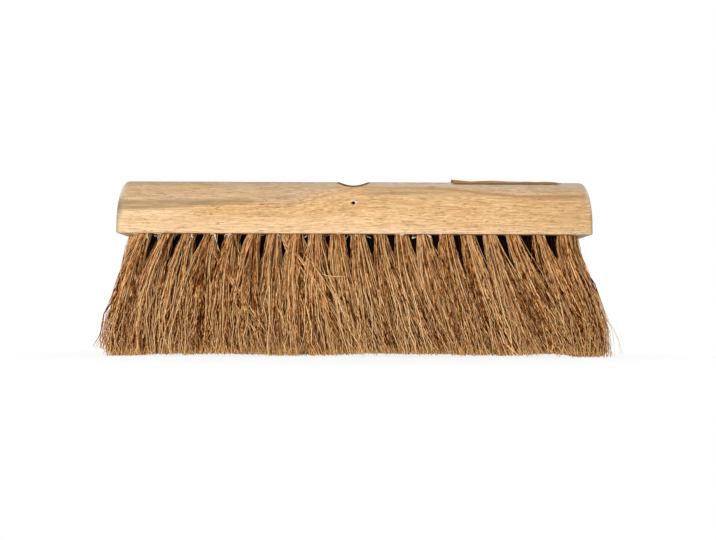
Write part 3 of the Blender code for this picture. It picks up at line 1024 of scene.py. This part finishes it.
    def carried(self, spots_across):
        """What the mesh carries for the material, and each hairpin's spot in the square map."""
        tone = self.chance(self.leg, 55) * 0.88 + self.chance(self.string, 57) * 0.12
        from_centre = self.distance(self.root_x, self.root_y)
        spot_row = self.math("FLOOR", self.hairpin / spots_across)
        return {
            "tone": tone + self.curly * 0.4,
            "lock": self.chance(self.lock, 56),
            "along": self.down,
            # depth and inner steer the painted shade of the coir material
            "depth": 1 - from_centre / self.given.other("Hole Radius"),
            "inner": self.given.other("Inner"),
            "spot_u": self.hairpin - spot_row * spots_across,
            "spot_v": spot_row + 0.06 + 0.8 * self.step / (RINGS - 1),
        }

    def tubes(self, curves, thick, spots_across):
        """Tubes round the curves, each laid out on its own spot of the square map."""
        ring = {"Resolution": FIBRE_SIDES, "Radius": 1.0}
        ring = self.add("GeometryNodeCurvePrimitiveCircle", None, ring)
        ring = self.store(ring, "side", self.add("GeometryNodeInputIndex") / (FIBRE_SIDES - 1))
        values = {"Curve": curves, "Profile Curve": ring, "Scale": thick, "Fill Caps": True}
        tubes = self.add("GeometryNodeCurveToMesh", None, values)
        side = self.named("side")
        slant = abs(side - 0.5) * 0.08
        u = (self.named("spot_u") + 0.1 + side * 0.8) / spots_across
        v = (self.named("spot_v") + slant) / spots_across
        return self.store(tubes, "OFBake", self.join(u, v), "FLOAT2", "CORNER")


def grow(tree, name, sizes, points=()):
    """Runs a geometry tree with these inputs, on a mesh of these points, and keeps the plain mesh."""
    mesh = bpy.data.meshes.new(name)
    mesh.from_pydata(points, [], [])
    obj = link(bpy.data.objects.new(name, mesh))
    modifier = obj.modifiers.new(tree.name, "NODES")
    modifier.node_group = tree
    for item in tree.interface.items_tree:
        if item.in_out == "INPUT" and item.name in sizes:
            modifier[item.identifier] = sizes[item.name]
    return settle(obj)


def coir_sizes(row, half, places):
    """The inputs of the tree for one half of a row, 0 for the left one and 1 for the right one."""
    return {
        "Tufts": len(places),
        "Hairpins": HAIRPINS,
        "First Tuft X": places[0],
        "Row Y": row * ROW_PITCH - OUTER_ROW_Y,
        "Pitch": TUFT_PITCH,
        "Drift": HOLE_DRIFT,
        "Hole Radius": HOLE_RADIUS,
        "Underside": UNDERSIDE,
        "Fold Height": FOLD_HEIGHT,
        "Fan": FAN,
        "Push": FAN_PUSH,
        "Left Squeeze": LEFT_SQUEEZE,
        "Right Squeeze": RIGHT_SQUEEZE,
        "Right Bulge": RIGHT_BULGE,
        "Right Ease": RIGHT_EASE,
        "Side Lean": SIDE_LEAN / OUTER_ROW_Y,
        "Inner": float(0 < row < ROWS - 1),
        "Reach X": cad_bounds[1][0] + PROUD[0],
        "Reach Y": cad_bounds[1][1] + PROUD[1],
        "Fibre Radius": FIBRE_RADIUS,
        "Seed": FIRST_SEED + row * 2 + half,
        "Material": bpy.data.materials["coir fibre"],
    }


def make_coir():
    """Each row in two pieces, left and right."""
    tree = None
    for row in range(ROWS):
        places = places_in(row)
        halves = places[:TUFTS_ON_LEFT], places[TUFTS_ON_LEFT:]
        for half, side in enumerate(("left", "right")):
            sizes = coir_sizes(row, half, halves[half])
            tree = tree or CoirRow(sizes).tree
            piece = grow(tree, f"coir_row{row + 1}_{side}", sizes)
            for name in ("spot_u", "spot_v", "side"):
                piece.data.attributes.remove(piece.data.attributes[name])
            first = 1 + half * NODES_IN_ROW // 2
            last = first + NODES_IN_ROW // 2
            fit(piece, "coir", *(f"coir_tufts_row{row + 1}_{i:02d}" for i in range(first, last)))


class Sweep:
    """Strips swept along paths into one mesh, each point with its own attributes."""

    def __init__(self, *names):
        self.bm = bmesh.new()
        self.layers = [self.bm.verts.layers.float.new(name) for name in names]

    def add(self, path, across, thick, *shares):
        """A strip of four sides along a path, this wide and thick, thinning out towards its end."""
        rings = []
        for i, spot in enumerate(path):
            ahead = (path[min(i + 1, len(path) - 1)] - path[max(i - 1, 0)]).normalized()
            side = ahead.cross(STRIP_FACING).normalized()
            face = ahead.cross(side)
            fine = 1 - STRIP_TAPER * (i / (len(path) - 1)) ** 2
            ring = []
            for u, v in ((-1, -1), (1, -1), (1, 1), (-1, 1)):
                place = spot + side * (u * across / 2 * fine) + face * (v * thick / 2 * fine)
                vert = self.bm.verts.new(place)
                for layer, share in zip(self.layers, (i / (len(path) - 1), *shares)):
                    vert[layer] = share
                ring.append(vert)
            rings.append(ring)
        skin(self.bm, rings)

    def finish(self, name, material):
        obj = object_from(name, self.bm, bpy.data.materials[material])
        obj.data.shade_smooth()
        return obj


def make_slivers():
    """Thin curls of wood that the bit tore up at the outer side of the holes, most on the left."""
    rng = random.Random(8)
    sweep = Sweep("along")
    for row in range(ROWS):
        outward = -1 if row < ROWS // 2 else 1
        for x, y in tufts_in(row):
            ragged = 0.28 - 0.34 * x / OUTER_TUFT_X
            for _ in range(SLIVERS_AT_MOST):
                if rng.random() > ragged:
                    continue
                around = rng.uniform(0.25, 0.75) * math.pi * outward
                rim = Vector((math.cos(around), math.sin(around), 0))
                start = Vector((x, y, UNDERSIDE + 0.15 * MM)) + rim * (HOLE_RADIUS + 0.5 * MM)
                sweep.add(sliver_path(rng, start, around), rng.uniform(0.5, 1.1) * MM, SLIVER_THICKNESS)
    fit(sweep.finish("torn_slivers", "torn wood"), "hardwood")


def sliver_path(rng, start, around):
    """The way of a sliver that leaves the rim at this angle, down from the underside and curling."""
    heading = around + rng.choice((-1, 1)) * rng.uniform(0.5, 1.6)
    dive, curl = rng.uniform(0.1, 0.7), rng.uniform(-1.6, 1.8)
    length = rng.uniform(2.5, 7.5) * MM
    spots = [start]
    for i in range(SLIVER_STEPS):
        heading += rng.gauss(0, 0.4)
        level = Vector((math.cos(heading), math.sin(heading), 0))
        angle = dive + curl * i / (SLIVER_STEPS - 1) + rng.gauss(0, 0.3)
        way = level * math.cos(angle) - Vector((0, 0, math.sin(angle)))
        step = spots[-1] + way * (length / SLIVER_STEPS)
        step.z = min(step.z, UNDERSIDE - 0.1 * MM)
        spots.append(step)
    return spots


def smoothed(path):
    """The path with each spot between its ends drawn towards its neighbours."""
    between = [(a + b * 2 + c) / 4 for a, b, c in zip(path, path[1:], path[2:])]
    return [path[0], *between, path[-1]]


def crossing_path(rng, root_x, stops, apart):
    """The way of a fibre from its tuft past two stops, which it misses by up to about this much."""
    off = Vector((rng.uniform(-1, 1), 0, 0)) * (apart * MM)
    turn = Vector((rng.uniform(-1, 1), 0, rng.uniform(-1, 1))) * (apart * 0.9 * MM)
    front = -OUTER_ROW_Y - HOLE_RADIUS
    root = Vector((root_x * MM, front + 1.2 * MM, UNDERSIDE + 3 * MM)) + off
    spots = [root, root + Vector((0, 1.6 * MM, -9 * MM))]
    for (x, z), forward in zip(stops, CROSSING_FORWARD):
        spot = Vector((x, rng.uniform(-1, 2.5) - forward, z)) * MM + off
        spots.append(spot + turn * (1 if spot.z > 20 * MM else 2.2))
    path = []
    for before, after in zip(spots, spots[1:]):
        for i in range(CROSSING_STEPS):
            path.append(before.lerp(after, i / CROSSING_STEPS))
    path = smoothed(smoothed([*path, spots[-1]]))
    for spot in path[3:]:
        spot += Vector((rng.gauss(0, 1), rng.gauss(0, 0.6), rng.gauss(0, 0.5))) * (0.22 * MM)
    return path


def make_crossing_fibres():
    rng = random.Random(21)
    sweep = Sweep("along", "tone", "lock", "depth")
    for root_x, first, second, count, apart, tone in CROSSING:
        for _ in range(count):
            path = crossing_path(rng, root_x, (first, second), apart)
            width = rng.uniform(0.4, 0.65) * MM
            fibre_tone = tone + rng.uniform(-0.4, 0.4) * (count > 1)
            sweep.add(path, width, width, fibre_tone, rng.random(), 0)
    fit(sweep.finish("crossing_fibres", "coir fibre"), "coir")


def label_point(along, across):
    """A point of the label over the dome: along runs 0 to 1 from its lifted end to its slanted one,
    across -1 to 1 from its front edge."""
    y = across * LABEL_HALF_WIDTH
    step = MM / 10
    slope = (dome_height(y + step) - dome_height(y - step)) / (2 * step)
    up = Vector((0, -slope, 1)).normalized()
    x = LABEL_START + along * (LABEL_LENGTH - LABEL_SLANT * (across + 1) / 2)
    on_wave = (along - LABEL_WAVE_START) / (LABEL_WAVE_END - LABEL_WAVE_START)
    wave = math.sin(math.pi * min(1, max(0, on_wave))) ** 2
    lift = LABEL_END_LIFT * (1 - along) ** LABEL_END_BEND + LABEL_WAVE * wave
    crease = noise.noise(Vector((x / (7 * MM), y / (6 * MM), 0))) * LABEL_CREASE
    base = Vector((x, y, UNDERSIDE + dome_height(y)))
    curl = LABEL_EDGE_CURL * max(0, -across) ** 4
    return base + up * (LABEL_GAP + (lift + crease) * (1 - across**2) + curl)


def make_label():
    bm = bmesh.new()
    edge = bm.verts.layers.float.new("edge")
    grid = []
    for i in range(LABEL_STEPS + 1):
        line = []
        for j in range(LABEL_CROSS_STEPS + 1):
            along, across = i / LABEL_STEPS, 2 * j / LABEL_CROSS_STEPS - 1
            vert = bm.verts.new(label_point(along, across))
            border = min(along, 1 - along) * LABEL_LENGTH
            border = min(border, (1 - abs(across)) * LABEL_HALF_WIDTH)
            vert[edge] = max(0, 1 - border / LABEL_BROWNED_EDGE)
            line.append(vert)
        grid.append(line)
    for line, after in zip(grid, grid[1:]):
        for j in range(LABEL_CROSS_STEPS):
            bm.faces.new((line[j], line[j + 1], after[j + 1], after[j]))
    label = object_from("paper_label", bm, bpy.data.materials["kraft paper"])
    solid = label.modifiers.new("thickness", "SOLIDIFY")
    solid.thickness = LABEL_THICKNESS
    solid.offset = 1
    label = settle(label)
    label.data.shade_smooth()
    label.data.set_sharp_from_angle(angle=LABEL_SMOOTH_ANGLE)
    fit(label, "paper", "label")


def wire_tree(sizes):
    """A flat wire at each point, its lower corners cut back to points that drive into the wood."""
    nodes = GeometryNodes("anchor wires", sizes, "Wires")
    given = nodes.given.other
    size = nodes.join(given("Length"), given("Thickness"), given("Height"))
    values = {"Size": size, "Vertices X": 5, "Vertices Y": 2, "Vertices Z": 2}
    wire = nodes.add("GeometryNodeMeshCube", None, values)
    x, y, z = nodes.split(nodes.add("GeometryNodeInputPosition"))
    low = nodes.math("LESS_THAN", z, 0)
    z = z + given("Height") * (abs(x) / given("Length")) ** 2 * (low + low)
    x = x * (1 - low * WIRE_INSET)
    values = {"Geometry": wire, "Position": nodes.join(x, y, z)}
    wire = nodes.add("GeometryNodeSetPosition", None, values)
    values = {"Points": nodes.given, "Instance": wire}
    nodes.finish(nodes.add("GeometryNodeInstanceOnPoints", None, values))
    return nodes.tree


def make_wires():
    """The wires lie across the rows, one in each hole, where the fibres are folded over them."""
    middle = WIRE_BOTTOM + WIRE_HEIGHT / 2
    points = [(x, y, middle) for row in range(ROWS) for x, y in tufts_in(row)]
    sizes = {
        "Length": WIRE_LENGTH,
        "Height": WIRE_HEIGHT,
        "Thickness": WIRE_THICKNESS,
        "Material": bpy.data.materials["anchor steel"],
    }
    fit(grow(wire_tree(sizes), "anchor_wires", sizes, points), None)


def make_stage():
    """A white floor that keeps a little of the head's shadow."""
    white = Finish("white floor", Base_Color=(0.9, 0.9, 0.9, 1), Roughness=1, Specular_IOR_Level=0.0)
    x, y, _ = white.place()
    plain = 0.88 + white.rise(white.distance(x * 0.6, y), 70, 150) * 0.12
    seen = white.add("ShaderNodeLightPath", output="Is Camera Ray")
    glow = white.add("ShaderNodeEmission", None, ((1, 1, 1, 1), 1.0))
    lit = Socket(white, white.shader.outputs["BSDF"])
    surface = white.add("ShaderNodeMixShader", None, (seen * plain, lit, glow))
    output = white.tree.nodes["Material Output"]
    white.tree.links.new(surface.socket, output.inputs["Surface"])
    bm = bmesh.new()
    bmesh.ops.create_grid(bm, x_segments=1, y_segments=1, size=6)
    object_from("floor", bm, white.material)


def make_world():
    """A white studio that lights the head less than it shows."""
    world = bpy.data.worlds.new("studio")
    bpy.context.scene.world = world
    world.use_nodes = True
    nodes = Nodes(world.node_tree)
    seen = nodes.add("ShaderNodeLightPath", output="Is Camera Ray")
    background = world.node_tree.nodes["Background"]
    background.inputs["Color"].default_value = (1, 1, 1, 1)
    strength = seen * 0.68 + 0.32
    world.node_tree.links.new(strength.socket, background.inputs["Strength"])


def add_light(name, place, target, size, power):
    light = bpy.data.lights.new(name, "AREA")
    light.shape = "RECTANGLE"
    light.size, light.size_y = size
    light.energy = power
    obj = link(bpy.data.objects.new(name, light))
    obj.location = place
    obj.rotation_mode = "QUATERNION"
    obj.rotation_quaternion = (Vector(target) - Vector(place)).to_track_quat("-Z", "Y")


def make_lights():
    add_light("front", place=(-0.5, -1.5, 0.15), target=(0, 0, 0.08), size=(0.8, 0.26), power=16.5)
    add_light("above", place=(0.2, -0.4, 1.5), target=(0, 0, 0.05), size=(1.0, 0.8), power=7)


def make_camera():
    """Faces the front, turned until its vanishing point falls where the photograph's does."""
    data = bpy.data.cameras.new("camera")
    data.sensor_width = SENSOR_WIDTH
    data.lens = SENSOR_WIDTH * FOCAL_PIXELS / PHOTO_WIDTH
    data.clip_start, data.clip_end = 0.01, 20
    camera = link(bpy.data.objects.new("camera", data))
    camera.location = (0, -CAMERA_DISTANCE, CAMERA_HEIGHT)
    right = (PHOTO_WIDTH / 2 - VANISHING_POINT[0]) / FOCAL_PIXELS
    up = (VANISHING_POINT[1] - PHOTO_HEIGHT / 2) / FOCAL_PIXELS
    camera.rotation_mode = "QUATERNION"
    aim = Vector((right, 1, up)).to_track_quat("-Z", "Y")
    camera.rotation_quaternion = aim @ Quaternion((0, 0, 1), CAMERA_ROLL)
    bpy.context.scene.camera = camera


def main():
    bpy.context.scene.view_settings.view_transform = "Standard"
    make_camera()
    for material in (rubberwood, drilled_wood, coir_fibre, torn_wood, kraft_paper, anchor_steel):
        material()
    make_stock()
    make_wires()
    make_coir()
    make_slivers()
    make_crossing_fibres()
    make_label()
    make_stage()
    make_world()
    make_lights()


main()
